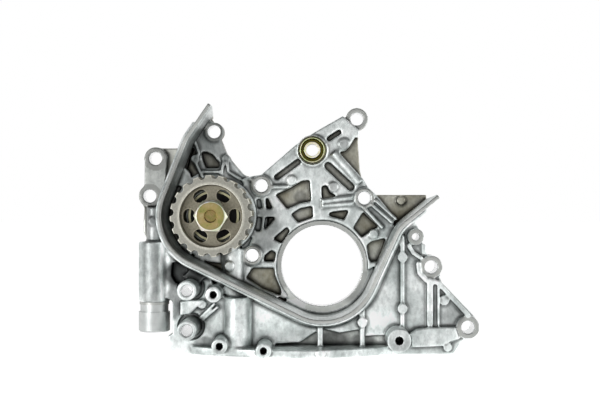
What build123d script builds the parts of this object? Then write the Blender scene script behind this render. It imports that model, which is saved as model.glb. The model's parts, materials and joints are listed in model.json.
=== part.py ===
from build123d import *
import os
from collections import namedtuple
from math import acos, atan2, cos, degrees, hypot, pi, radians, sin, sqrt

# Engine oil pump built into a belt-drive front case.
# It stands upright with +Z up and its front towards -Y. The origin is the centre of the
# crankshaft bore on the rear gasket face. Every depth is measured forward from that face.
# Sizes are millimetres. A pair of numbers for a place is X and Z, as seen from the front.

# Crankshaft bore and the ring round it
crank_bore_radius = 31.0
crank_ring_wall = 4.2
crank_ring_depth = 15.0

# Case levels, as depths forward of the gasket face
floor_depth = 6.0
peak_depth = 14.0
rib_depth = 17.0
ear_depth = 10.0
plate_depth = 22.0
plate_skin = 6.0
land_width = 6.5

# Belt wall
wall_thickness = 3.0
wall_depth = 55.0
wall_tip_height = 12.0
wall_pump_radius = 38.0
wall_crank_radius = 39.0
wall_left_tip = (-82.5, 120.5)
wall_left_bend = (-100.0, 95.0)
wall_right_bend = (56.5, 30.0)
wall_right_tip = (85.0, 53.0)
wall_left_bend_radius = 30.0
wall_right_bend_radius = 24.0
wall_step_reach = 4.2
wall_step_depth = 46.0
wall_step_limits = [(-125.0, -50.0), (77.0, -50.0), (77.0, 60.0), (-70.0, 108.0), (-125.0, 108.0)]
apron_reach = 10.0
apron_front_depth = 47.0
apron_limits = [(-118.0, -50.0), (66.0, -50.0), (66.0, 26.0), (-118.0, 26.0)]

# Cuts behind the wall's overhanging tips: the left one from the side, as -depth and Z, and the
# right one in plan, as X and -depth
tip_back = -(wall_depth - wall_tip_height)
left_tip_side = [(0.0, 115.0), (tip_back, 120.0), (tip_back, 130.0), (0.0, 130.0)]
right_tip_plan = [(81.0, 0.0), (84.0, tip_back), (95.0, tip_back), (95.0, 0.0)]
right_tip_low = 45.0
tip_cut_width = 30.0
tip_cut_height = 15.0

# Oil pan flange
pan_z = -67.0
pan_flange_height = 6.0
pan_flange_reach = 45.0

# Oil inlet: a bulge that rises from the pan face, and the column from it to the pump
inlet_x = -64.0
inlet_depth = 26.0
inlet_radius = 10.5
inlet_top = -23.0
inlet_bore_radius = 8.0
column_x = -68.0
column_depth = 13.0
column_radius = 9.5
column_bore_radius = 6.0
column_top = 13.0
column_low = -35.0
inlet_bore_top = -29.0
column_bore_low = -31.0
column_bore_inset = 6.0

# Pump shaft line
pump_x = -81.5
pump_z = 38.5
shaft_radius = 10.0
shaft_tail_radius = 8.0
shaft_nose_radius = 9.5
shaft_end_gap = 0.5
shaft_shoulder_gap = 0.1
shaft_nose_inset = 2.0
shaft_chamfer = 0.8

# Rotor set: a four-lobed drive rotor inside a five-lobed driven rotor
drive_lobes = 4
rotor_offset = 3.0
lobe_circle_radius = 25.5
lobe_radius = 10.5
rotor_outer_radius = 26.0
drive_flank_arcs = 32
rotor_width = 12.0
rotor_tip_clearance = 0.08
rotor_side_clearance = 0.05
chamber_clearance = 0.07

# Pump cover on the rear
cover_recess = 1.0
cover_thickness = 6.0
cover_edge_wall = 2.2
cover_clearance = 0.25
cover_screw_radius = 2.0
cover_screw_count = 5
cover_screw_wall = 0.3
cover_screw_length = 10.5
cover_screw_head_radius = 3.6
cover_screw_head_height = 1.8
cover_screw_first_angle = 30.0
screw_socket_across_flats = 3.0
screw_socket_depth = 1.6
rear_bush_wall = 1.5
dowel_radius = 1.6
dowel_angles = (66.0, 274.0)
dowel_length = 8.0
dowel_inset = 1.0
screw_hole_margin = 0.5
ring_groove_gap = 0.53
ring_groove_width = 1.1
ring_groove_depth = 0.9

# Pump housing and front boss
housing_rim_wall = 2.05
housing_step_depth = 14.0
housing_nose_wall = 2.4
housing_front_wall = 4.0
seal_boss_wall = 2.5
bush_wall = 1.5
bush_length = 8.0
running_clearance = 0.03

# Shaft seal
seal_radius = 19.0
seal_length = 6.5
seal_bush_gap = 0.8
seal_case_wall = 1.2
seal_lip_clearance = 0.05
seal_spring_wire = 0.8
seal_spring_sides = 8
seal_spring_depth = 3.6
seal_neck_wall = 2.4
seal_face_inner_radius = 17.4

# Section of the seal's lip: gap off the shaft and depth behind the seal's face
seal_lip_profile = [
    (seal_radius - seal_case_wall - shaft_radius, seal_length - 0.5),
    (seal_radius - seal_case_wall - shaft_radius, seal_case_wall),
    (1.6, seal_case_wall),
    (1.2, 2.4),
    (seal_lip_clearance, 3.4),
    (1.2, 4.6),
    (seal_neck_wall, 4.6),
    (seal_neck_wall, 2.6),
    (5.4, 2.6),
    (5.4, seal_length - 0.5),
]

# Pulley
pulley_teeth = 20
belt_pitch = 9.525
belt_pitch_line = 0.4
tooth_gap_depth = 2.6
tooth_gap_width = 5.4
pulley_first_gap = 84.8
pulley_back_depth = 24.5
pulley_width = 32.5
pulley_rim_inner_radius = 23.0
pulley_web_thickness = 6.0
pulley_web_recess = 8.0
pulley_hub_radius = 12.4
hub_seal_gap = 0.6
window_count = 6
window_circle_radius = 16.9
window_width = 8.4
window_length = 10.4
window_corner_radius = 4.0

# Pulley bolt
bolt_thread_radius = 7.0
bolt_head_across_flats = 22.0
bolt_head_height = 10.5
bolt_flange_radius = 10.9
bolt_flange_height = 1.2
bolt_length = 23.0
bolt_hole_length = 24.0
bolt_corner_cut = 1.6
bolt_cut_margin = 0.5
bolt_corner_land = 0.5
bolt_dish_radius = 4.6
bolt_dish_depth = 1.2
bolt_head_turn = -2.0

# Keys
key_width = 4.0
key_height = 4.0
rotor_key_length = 10.0
pulley_key_inset = 0.5
pulley_key_front_gap = 1.5
rotor_key_inset = 1.0

# Relief valve: plunger, spring and plug on an upright axis in the left cylinder
relief_x = -129.0
relief_depth = 14.0
relief_body_radius = 12.0
relief_body_low = -27.5
relief_body_high = 18.5
relief_bore_radius = 6.5
relief_bore_top = 12.0
relief_plunger_length = 17.0
relief_plunger_wall = 1.5
relief_clearance = 0.03
relief_end_gap = 0.3
relief_spring_radius = 4.1
relief_spring_wire = 1.3
relief_spring_turns = 6
spring_steps_per_turn = 16
spring_wire_sides = 8
relief_neck_height = 7.5
relief_plug_radius = 12.0
relief_plug_height = 15.3
relief_plug_socket = 12.0
relief_plug_socket_depth = 5.0
relief_thread_radius = 8.0
relief_thread_length = 9.0
relief_pocket_depth = 8.0
relief_crown = 3.0
relief_plug_turn = 30.0
relief_plug_chamfer = 1.0
relief_pocket_gap = 0.2
relief_collar_radius = 10.8
relief_washer_radius = 11.4
relief_duct_x = -129.5
relief_duct_depth = 9.0
relief_duct_radius = 6.5
relief_duct_top = 45.0
relief_washer_thickness = 2.0

# Idler collar in the upper boss
collar_x = -7.5
collar_z = 88.5
collar_radius = 10.6
collar_rim_width = 1.6
collar_tube_radius = 6.2
collar_hole_radius = 4.6
collar_seat_depth = 15.0
collar_height = 10.0
collar_boss_wall = 1.2
collar_boss_depth = 18.0
collar_rim_chamfer = 1.2
collar_groove_width = 0.3
collar_floor = 2.0

# Oil ports beside the rotors, under the pump cover
port_width = 8.0
feed_width = 7.0
feed_depth = 4.0
port_height = 4.0
port_wall = 3.0
port_circle_radius = 42.0
discharge_angle = 135.0
relief_port_angle = 225.0

# Bolt hole sizes
case_hole_radius = 4.9
post_hole_radius = 4.3
slot_depth = 9.0
thread_hole_radius = 2.5

Boss = namedtuple("Boss", "x z radius depth hole")

# Front edge of the oil pan flange in plan, as X and Y
pan_flange_edge = [
    (-114.0, -10.0), (-92.0, -27.0), (-61.0, -38.0), (-24.0, -pan_flange_reach), (4.0, -44.0),
    (30.0, -35.0), (52.0, -24.0), (76.0, -14.0), (100.0, -10.0),
]

# Bosses whose holes run right through the case to the engine block
case_bosses = {
    "peak": Boss(-83.0, 103.0, 7.2, 15.0, case_hole_radius),
    "notch": Boss(-46.5, 61.5, 8.0, 18.5, case_hole_radius),
    "arm_end": Boss(27.0, 113.0, 8.6, 12.0, case_hole_radius),
    "web": Boss(32.5, 52.0, 7.8, 18.5, case_hole_radius),
    "inner": Boss(-53.5, 8.0, 7.6, 18.5, case_hole_radius),
    "upper_ear": Boss(-128.5, 82.5, 8.8, 12.0, case_hole_radius),
    "lower_ear": Boss(-133.0, 53.5, 8.6, 12.0, case_hole_radius),
    "side": Boss(83.0, -0.5, 8.7, 24.0, case_hole_radius),
    "corner": Boss(111.0, -46.5, 9.0, 24.0, case_hole_radius),
    "shoulder": Boss(71.0, 22.5, 6.3, 27.0, 2.8),
    "upper_post": Boss(-100.0, -16.5, 7.3, 50.0, post_hole_radius),
    "lower_post": Boss(-100.0, -46.0, 7.3, 50.0, post_hole_radius),
}

# Posts with a blind threaded hole in the front
post_thread_depth = 14.0
thread_posts = [
    Boss(-80.5, -19.5, 5.9, 50.0, thread_hole_radius),
    Boss(-76.0, -57.5, 5.9, 50.0, thread_hole_radius),
    Boss(-43.5, -61.0, 5.9, 50.0, thread_hole_radius),
    Boss(57.0, -54.0, 9.0, 45.0, 3.0),
]


def front(depth):
    """Sketch plane parallel to the gasket face, seen from the front."""
    return Plane.XZ.offset(depth)


def pump_front(depth):
    """Sketch plane across the pump's shaft line, with its origin on that line."""
    return Plane(origin=(pump_x, -depth, pump_z), x_dir=(1, 0, 0), z_dir=(0, -1, 0))


def turning_plane(x, z):
    """Sketch plane through an axis along Y: its own x is the radius and its y the depth."""
    return Plane(origin=(x, 0, z), x_dir=(1, 0, 0), z_dir=(0, 0, -1))


def outline(plane, points, corner_radius=0.0):
    """Closed face through the points, with its corners rounded where a radius is given."""
    with BuildSketch(plane) as shape:
        with BuildLine():
            Polyline(*points, close=True)
        make_face()
        if corner_radius:
            offset(amount=-corner_radius, kind=Kind.INTERSECTION, mode=Mode.REPLACE)
            offset(amount=corner_radius, kind=Kind.ARC, mode=Mode.REPLACE)
    return shape.sketch


def disc(plane, x, z, radius):
    """Round face at a place on the plane."""
    with BuildSketch(plane) as shape:
        with Locations((x, z)):
            Circle(radius)
    return shape.sketch


def bar(plane, start, end, width):
    """Straight rib face with round ends, from one point to another."""
    middle = ((start[0] + end[0]) / 2, (start[1] + end[1]) / 2)
    span = (end[0] - start[0], end[1] - start[1])
    with BuildSketch(plane) as shape:
        with Locations(Location(middle, degrees(atan2(span[1], span[0])))):
            SlotCenterToCenter(hypot(*span), width)
    return shape.sketch


def column(x, z, radius, back, front_depth):
    """Round solid along Y between two depths, kept apart until it is added or cut."""
    return extrude(disc(front(back), x, z, radius), amount=front_depth - back, mode=Mode.PRIVATE)


def upright(x, depth, radius, low, high):
    """Round solid along Z between two heights, kept apart until it is added or cut."""
    return extrude(disc(Plane.XY.offset(low), x, -depth, radius), amount=high - low, mode=Mode.PRIVATE)


def rod(start, end, radius, crown):
    """Round solid that lies along a line, with its crown at the given depth."""
    line = Vector(end[0] - start[0], 0, end[1] - start[1])
    with BuildSketch(Plane(origin=(start[0], radius - crown, start[1]), z_dir=line)) as shape:
        Circle(radius)
    return extrude(shape.sketch, amount=line.length, mode=Mode.PRIVATE)


def ridge(points, width, back, front_depth):
    """Straight bars from point to point, kept apart until they are added."""
    return [
        extrude(bar(front(back), start, end, width), amount=front_depth - back, mode=Mode.PRIVATE)
        for start, end in zip(points, points[1:])
    ]


def polar(centre, radius, angle):
    """Point on a circle, with the angle in degrees."""
    return (centre[0] + radius * cos(radians(angle)), centre[1] + radius * sin(radians(angle)))


def touch_angle(centre, radius, point, side):
    """Angle on a circle where the line from an outside point touches it."""
    dx = point[0] - centre[0]
    dz = point[1] - centre[1]
    return degrees(atan2(dz, dx)) + side * degrees(acos(radius / hypot(dx, dz)))


def drive_flank(turn):
    """Point on the drive rotor: the lobe centre's rolling path, set in by the lobe's radius."""
    ratio = drive_lobes + 1
    pin_x = lobe_circle_radius * cos(turn) + rotor_offset * cos(ratio * turn)
    pin_z = lobe_circle_radius * sin(turn) + rotor_offset * sin(ratio * turn)
    step_x = -lobe_circle_radius * sin(turn) - rotor_offset * ratio * sin(ratio * turn)
    step_z = lobe_circle_radius * cos(turn) + rotor_offset * ratio * cos(ratio * turn)
    inset = (lobe_radius + rotor_tip_clearance) / hypot(step_x, step_z)
    return (pin_x - inset * step_z, pin_z + inset * step_x)


# The belt wall's centre line: straight from the left tip to the pump, round it, along the
# tangent to the crankshaft, round that, and out to the right tip
pump_axis = (pump_x, pump_z)
crank_axis = (0.0, 0.0)
wall_run = hypot(pump_x, pump_z)
wall_run_angle = degrees(atan2(-pump_z, -pump_x))
wall_run_normal = wall_run_angle - degrees(acos((wall_pump_radius - wall_crank_radius) / wall_run))
wall_pump_start = touch_angle(pump_axis, wall_pump_radius, wall_left_bend, 1)
wall_crank_end = touch_angle(crank_axis, wall_crank_radius, wall_right_bend, -1)


def wall_lines(plane):
    """The belt wall's centre line on a plane, as one open wire."""
    with BuildLine(plane) as line:
        FilletPolyline(
            wall_left_tip,
            wall_left_bend,
            polar(pump_axis, wall_pump_radius, wall_pump_start),
            radius=wall_left_bend_radius,
        )
        CenterArc(pump_axis, wall_pump_radius, wall_pump_start, wall_run_normal + 360 - wall_pump_start)
        Line(
            polar(pump_axis, wall_pump_radius, wall_run_normal),
            polar(crank_axis, wall_crank_radius, wall_run_normal),
        )
        CenterArc(crank_axis, wall_crank_radius, wall_run_normal, wall_crank_end - wall_run_normal)
        FilletPolyline(
            polar(crank_axis, wall_crank_radius, wall_crank_end),
            wall_right_bend,
            wall_right_tip,
            radius=wall_right_bend_radius,
        )
    return line


# Upper edge of the case between the wall's two tips, from right to left
upper_edge = [
    (81.0, 54.5), (41.5, 54.5), (35.5, 60.0), (31.0, 67.5), (29.5, 74.0), (28.0, 95.5), (29.0, 104.0),
    (16.0, 115.0), (-7.5, 101.5), (-20.0, 93.0), (-46.5, 70.0), (-55.5, 68.5), (-60.5, 70.0),
    (-69.5, 80.5), (-74.0, 87.0), (-77.5, 96.0), (-84.5, 112.0), (-88.5, 114.5),
]

# Ear plate on the left, outside the belt wall
ear_outline = [
    (-100.0, 90.5), (-123.0, 90.5), (-137.0, 84.0), (-137.2, 62.0), (-141.0, 56.0), (-140.5, 49.5),
    (-137.5, 44.5), (-138.5, 26.0), (-134.0, 18.0), (-110.0, 10.0), (-112.0, 50.0),
]

# Lower plate, outside and below the belt wall
plate_outline = [
    (-113.0, 20.0), (-119.0, 10.0), (-119.0, -24.0), (-114.0, -27.0), (-114.0, -52.0), (-117.5, -53.0),
    (-117.5, -62.5), (-112.0, pan_z), (100.0, pan_z), (106.5, -57.0),
    (117.0, -53.0), (117.0, -39.0), (91.0, -12.0), (90.0, -6.0), (81.5, 7.5), (76.5, 14.5),
    (76.0, 24.0), (71.0, 34.0), (64.0, 40.0), (52.0, 28.0), (36.0, -14.0), (0.0, -36.0),
    (-60.0, -14.0), (-98.0, 5.0),
]

# Raised web between the pump, the crankshaft and the upper arm
web_outline = [
    (-55.5, 68.5), (-46.5, 70.0), (-20.0, 93.0), (-7.5, 101.5), (16.0, 115.0), (29.0, 104.0),
    (28.0, 95.5), (29.5, 74.0), (31.0, 67.5), (35.5, 60.0), (41.5, 54.5), (56.0, 37.0),
    (53.0, 24.0), (44.5, 2.0), (34.0, -4.0), (-29.0, -25.0), (-46.5, -20.0), (-60.5, -12.5),
    (-64.0, 0.0), (-54.0, 20.0), (-52.0, 38.0), (-56.0, 54.0), (-62.0, 66.0),
]

# Raised part of the upper left peak
peak_outline = [
    (-90.5, 112.0), (-84.5, 111.0), (-77.5, 96.0), (-74.0, 87.0), (-69.5, 80.5), (-60.5, 70.0),
    (-58.0, 62.0), (-70.0, 68.0), (-84.0, 71.5), (-93.5, 68.0), (-99.0, 78.5), (-96.5, 86.5), (-102.0, 96.0),
]

# Pockets between the ribs, all cut down to the floor
web_pockets = [
    [(-36.0, 54.5), (-24.0, 60.0), (-16.0, 65.0), (-9.5, 66.0), (-8.5, 49.5), (-17.0, 48.0), (-27.0, 43.5)],
    [(-7.5, 46.0), (-17.0, 44.0), (-24.0, 39.5), (-18.5, 33.0), (-7.0, 37.0)],
    [(-0.5, 61.0), (3.5, 62.0), (6.0, 56.5), (14.0, 52.5), (0.0, 50.0)],
    [(4.5, 40.0), (8.5, 41.5), (21.0, 43.0), (17.0, 35.0), (6.0, 38.0)],
    [(31.5, 41.5), (43.5, 30.0), (37.0, 26.0), (30.5, 21.5), (24.0, 29.0)],
    [(34.5, 16.0), (37.5, 18.5), (49.5, 21.5), (43.5, 3.0), (37.5, 2.5), (35.5, 6.0)],
    [(-50.5, 37.5), (-46.0, 37.5), (-47.0, 26.5), (-51.5, 26.5)],
    [(-43.5, 37.5), (-35.0, 37.5), (-45.5, 25.5)],
    [(-27.0, 30.0), (-24.8, 26.5), (-31.0, 17.0), (-38.0, 20.5)],
    [(-39.0, 12.0), (-35.5, 10.0), (-36.5, 3.0), (-45.0, 3.0), (-44.0, 8.0)],
    [
        (-53.5, -1.5), (-37.0, -1.5), (-36.0, -8.0), (-31.5, -18.0), (-31.5, -23.5), (-46.0, -18.0),
        (-58.5, -9.5),
    ],
    [(-50.5, 51.0), (-47.0, 51.5), (-45.5, 44.0), (-49.5, 43.5)],
    [(-43.5, 52.0), (-41.5, 52.0), (-37.5, 43.5), (-43.0, 43.5)],
    [
        (12.5, 87.5), (17.5, 88.0), (21.0, 91.5), (25.5, 99.0), (30.5, 97.0), (31.0, 77.5), (33.0, 66.0),
        (30.0, 68.0),
    ],
]
pocket_corner_radius = 1.2

# Pocket of the upper left peak
peak_pockets = [
    [(-93.0, 87.5), (-89.0, 87.5), (-84.5, 85.5), (-79.0, 79.0), (-79.0, 75.0), (-89.5, 75.0), (-92.0, 81.0)],
]

# Long slots beside the upper arm's ribs: start, end and width
arm_slots = [
    ((-18.5, 79.8), (-34.5, 68.0), 4.6),
    ((5.5, 97.6), (13.0, 102.5), 3.8),
    ((4.8, 76.6), (22.0, 60.5), 6.0),
]

# Rib bumps where casting ejectors press: place, radius and front depth
ejector_bumps = [
    (-97.5, 82.0, 3.3, 15.5), (-74.0, 82.0, 3.3, 15.5), (17.0, 93.5, 3.8, 18.0), (-23.5, 65.5, 3.3, 18.0),
    (8.5, 60.5, 3.3, 18.0), (39.5, 24.5, 3.3, 18.0), (-71.0, 0.0, 3.4, 23.4), (61.0, 7.0, 3.8, 27.0),
    (61.0, -32.0, 3.8, 27.0), (30.5, -42.5, 3.8, 27.0), (93.0, -26.0, 3.8, 24.0),
    (-91.5, -29.0, 3.4, 24.0), (-130.5, 34.0, 3.2, 16.0), (61.5, 50.0, 3.3, 7.5), (-1.2, -63.8, 3.2, 46.0),
    (95.5, -61.6, 3.2, 25.0),
]
bump_back_depth = 2.0
ridge_back_depth = 5.0

# Ridges: points along the middle, width and front depth
ridges = [
    ([(-99.0, 99.0), (-94.5, 86.5), (-97.0, 79.0), (-92.0, 68.0)], 2.0, 16.0),
    ([(-76.0, 79.0), (-77.4, 70.5)], 2.0, 16.0),
    ([(-73.0, 79.0), (-72.0, 72.0), (-63.0, 66.5)], 2.0, 16.0),
    ([(-91.5, 72.0), (-78.5, 72.0)], 2.0, 16.0),
    ([(-27.0, 42.0), (-19.0, 45.5), (-7.5, 48.0)], 2.2, 12.0),
    ([(-27.0, 60.5), (-43.0, 60.5), (-55.0, 66.5)], 2.4, 18.5),
    ([(32.0, 44.5), (46.0, 29.5)], 2.4, 19.0),
    ([(38.5, 46.5), (53.5, 33.5)], 2.4, 19.0),
    ([(41.5, 49.5), (56.5, 36.0)], 2.0, 19.0),
    ([(77.5, 15.5), (77.5, 10.5)], 3.0, 23.5),
    ([(73.0, 2.0), (74.0, -5.0), (79.0, -10.5), (88.5, -12.5), (111.0, -37.0)], 3.5, 25.0),
    ([(66.0, 15.5), (69.5, 10.0), (75.0, 6.5)], 3.0, 25.0),
    ([(-82.0, -28.5), (-92.5, -39.0)], 1.8, 26.0),
    ([(-79.5, -31.0), (-90.5, -40.5)], 1.8, 26.0),
    ([(92.0, -59.0), (103.5, -54.0)], 3.0, 24.0),
]

# Half-round ribs: start, end, radius and depth of the crown
round_ribs = [
    ((9.0, 86.5), (29.0, 63.5), 3.5, 19.0),
    ((0.0, 49.5), (23.0, 52.5), 2.0, 18.5),
    ((0.0, 46.0), (24.0, 48.0), 2.0, 18.5),
    ((-72.5, -14.0), (-63.5, -25.0), 5.0, 30.0),
]

# Raised pads: front depth and outline
raised_pads = [
    (12.0, [
        (-130.0, 90.5), (-123.5, 90.5), (-119.2, 84.5), (-120.5, 70.0), (-121.5, 60.0), (-126.0, 50.0),
        (-138.0, 50.0), (-141.0, 56.0), (-137.2, 62.0), (-137.0, 84.0),
    ]),
    (26.0, [
        (67.0, -50.5), (71.5, -47.5), (82.0, -46.5), (101.0, -46.0), (104.0, -54.5), (93.5, -58.5),
        (91.0, -60.5), (68.5, -61.5),
    ]),
    (24.5, [(-108.0, -26.5), (-90.5, -25.5), (-100.5, -36.5), (-108.0, -37.0)]),
    (25.5, [(-100.5, -3.0), (-89.0, -8.0), (-93.0, -12.5), (-96.0, -11.0), (-102.0, -9.5), (-106.5, -8.0)]),
    (15.0, [
        (-28.0, -20.0), (-27.0, -29.0), (-14.0, -36.5), (0.0, -39.0), (16.0, -36.0), (29.0, -27.0),
        (36.0, -14.0), (39.0, -2.0), (33.0, -1.0), (0.0, -25.0),
    ]),
]

# Pockets in the lower plate: floor depth and outline
plate_pockets = [
    (12.0, [
        (-36.0, -59.0), (-17.0, -58.0), (-4.5, -50.0), (1.5, -48.0), (13.5, -51.0), (28.0, -48.5),
        (32.5, -53.5), (49.5, -52.5), (52.0, -64.0), (-36.0, -64.0),
    ]),
    (16.0, [(-111.5, 3.0), (-102.0, -1.5), (-104.5, -10.5), (-111.5, -13.5), (-115.0, -7.5), (-114.5, 3.0)]),
    (13.0, [(-84.5, -8.5), (-77.0, -11.5), (-74.0, -16.0), (-76.5, -18.0), (-83.0, -16.5)]),
]
well_radius = 10.5
well_depth = 16.0
pocket_backing = 3.0
pocket_cut = 12.0

# Upright ribs on the lower plate: low end, high end, width and front depth
plate_ribs = [
    ((-1.5, -60.0), (-1.5, -43.0), 4.0, 26.0),
    ((30.5, -61.0), (30.5, -28.0), 3.6, 26.0),
    ((61.0, -48.0), (61.0, 22.0), 3.2, 26.0),
    ((82.0, -44.0), (82.0, -13.0), 4.6, 25.0),
    ((88.5, -44.0), (88.5, -14.0), 1.6, 25.0),
]

os.makedirs("parts", exist_ok=True)

# Places and depths that follow from the driving dimensions
column_bore_top = pump_z - rotor_outer_radius - chamber_clearance + column_bore_inset
relief_thread_top = relief_body_low + relief_thread_length
well_places = [(case_bosses[name].x, case_bosses[name].z) for name in ("upper_post", "lower_post")]
cover_front_depth = cover_recess + cover_thickness
chamber_front_depth = cover_front_depth + rotor_width + 2 * rotor_side_clearance
housing_front_depth = chamber_front_depth + housing_front_wall
plate_back_depth = plate_depth - plate_skin
apron_height = apron_front_depth - plate_back_depth
wall_runs = [
    (
        polar(pump_axis, wall_pump_radius, wall_run_normal),
        polar(crank_axis, wall_crank_radius, wall_run_normal),
    ),
    (polar(crank_axis, wall_crank_radius, wall_crank_end), wall_right_bend),
]
chamber_radius = rotor_outer_radius + chamber_clearance
ring_groove_radius = chamber_radius + ring_groove_gap
ring_groove_outer_radius = ring_groove_radius + ring_groove_width
cover_screw_circle_radius = ring_groove_outer_radius + cover_screw_wall + cover_screw_radius
cover_radius = cover_screw_circle_radius + cover_screw_radius + cover_edge_wall
housing_radius = cover_radius + cover_clearance + housing_rim_wall
housing_nose_radius = chamber_radius + housing_nose_wall
bush_outer_radius = shaft_radius + running_clearance + bush_wall
seal_boss_radius = seal_radius + seal_boss_wall
seal_back_depth = chamber_front_depth + bush_length + seal_bush_gap
seal_front_depth = seal_back_depth + seal_length
seal_spring_radius = shaft_radius + seal_neck_wall + seal_spring_wire
hub_back_depth = seal_front_depth + hub_seal_gap
pulley_front_depth = pulley_back_depth + pulley_width
web_front_depth = pulley_front_depth - pulley_web_recess
hub_front_depth = web_front_depth
bolt_front_depth = hub_front_depth + bolt_head_height
rotor_back_depth = cover_front_depth + rotor_side_clearance
driven_x = pump_x + rotor_offset
cover_axis = (driven_x, pump_z)
cover_screw_places = [
    polar(cover_axis, cover_screw_circle_radius, cover_screw_first_angle + index * 360 / cover_screw_count)
    for index in range(cover_screw_count)
]
dowel_places = [polar(cover_axis, cover_screw_circle_radius, angle) for angle in dowel_angles]
driven_lobes = drive_lobes + 1
pulley_radius = pulley_teeth * belt_pitch / (2 * pi) - belt_pitch_line
tooth_gap_circle_radius = pulley_radius - tooth_gap_depth + tooth_gap_width / 2
web_back_depth = web_front_depth - pulley_web_thickness
shaft_back_depth = cover_recess + shaft_end_gap
rear_bush_outer_radius = shaft_tail_radius + running_clearance + rear_bush_wall
collar_front_depth = collar_seat_depth + collar_height
collar_cup_radius = collar_radius - collar_rim_width - collar_groove_width
shaft_shoulder_depth = chamber_front_depth + shaft_shoulder_gap
bolt_cut_radius = bolt_head_across_flats / sqrt(3) + bolt_cut_margin
shaft_front_depth = hub_front_depth - shaft_nose_inset
pulley_key_back = hub_back_depth + pulley_key_inset
pulley_key_length = hub_front_depth - pulley_key_front_gap - pulley_key_back
rotor_key_back = rotor_back_depth + rotor_key_inset
cover_screw_end = cover_recess + cover_screw_length + screw_hole_margin
dowel_back_depth = cover_recess + dowel_inset
dowel_end = dowel_back_depth + dowel_length
discharge_port = polar(cover_axis, port_circle_radius, discharge_angle)
relief_port = polar(cover_axis, port_circle_radius, relief_port_angle)
relief_rest_top = relief_bore_top - relief_end_gap
relief_rest_low = relief_rest_top - relief_plunger_length
relief_plug_top = relief_body_low - relief_washer_thickness
relief_plug_head_top = relief_body_low - relief_neck_height


def screw_head(x, z):
    """Countersunk head of a cover screw, flush with the cover's rear."""
    rim = Plane(origin=(x, -cover_recess, z), x_dir=(1, 0, 0), z_dir=(0, -1, 0))
    with BuildPart() as head:
        with BuildSketch(rim):
            Circle(cover_screw_head_radius)
        with BuildSketch(rim.offset(cover_screw_head_height)):
            Circle(cover_screw_radius)
        loft()
    return head.part


# Face of the belt chamber, closed on three sides by the wall's own line
with BuildSketch(Plane.XY) as chamber_face:
    with BuildLine():
        add(wall_lines(Plane.XY))
        Polyline(wall_right_tip, *upper_edge, wall_left_tip)
    make_face()

# Face of the belt wall
with BuildSketch(Plane.XY) as wall_face:
    with BuildLine():
        add(wall_lines(Plane.XY))
    trace(line_width=wall_thickness)

# Step on the wall's outer side
with BuildSketch(Plane.XY) as step_face:
    with BuildLine():
        add(wall_lines(Plane.XY))
    trace(line_width=2 * wall_step_reach)
    add(outline(Plane.XY, wall_step_limits), mode=Mode.INTERSECT)
    add(chamber_face.sketch, mode=Mode.SUBTRACT)

# Face of the lower plate, and the part of it that is hollow behind
with BuildSketch(Plane.XY) as plate_face:
    with BuildLine():
        Polyline(*plate_outline, close=True)
    make_face()
    add(chamber_face.sketch, mode=Mode.SUBTRACT)
with BuildSketch(Plane.XY) as plate_hollow:
    add(plate_face.sketch)
    offset(amount=-land_width, kind=Kind.INTERSECTION, mode=Mode.REPLACE)
    for depth, pocket in plate_pockets:
        add(offset(outline(Plane.XY, pocket), amount=pocket_backing, mode=Mode.PRIVATE), mode=Mode.SUBTRACT)
    with Locations(*well_places):
        Circle(well_radius + pocket_backing, mode=Mode.SUBTRACT)

# Apron that slopes from the belt wall to the lower plate: a cone round each of the wall's arcs and
# a wedge along each straight run, all kept to the wall's outer side
with BuildPart() as apron:
    for x, z, radius in ((pump_x, pump_z, wall_pump_radius), (0.0, 0.0, wall_crank_radius)):
        with BuildSketch(turning_plane(x, z)):
            with BuildLine():
                Polyline(
                    (radius, plate_back_depth),
                    (radius + apron_reach, plate_back_depth),
                    (radius, apron_front_depth),
                    close=True,
                )
            make_face()
        revolve(axis=Axis((x, 0, z), (0, 1, 0)))
    for start, end in wall_runs:
        run = Vector(end[0] - start[0], 0, end[1] - start[1])
        outward = Vector(run.Z, 0, -run.X)
        with BuildSketch(Plane(origin=(start[0], 0, start[1]), x_dir=outward, z_dir=run)):
            with BuildLine():
                Polyline(
                    (0, -plate_back_depth),
                    (apron_reach, -plate_back_depth),
                    (0, -apron_front_depth),
                    close=True,
                )
            make_face()
        extrude(amount=run.length)
    extrude(outline(front(plate_back_depth), apron_limits), amount=apron_height, mode=Mode.INTERSECT)
    extrude(front(plate_back_depth) * chamber_face.sketch, amount=apron_height, mode=Mode.SUBTRACT)

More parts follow.
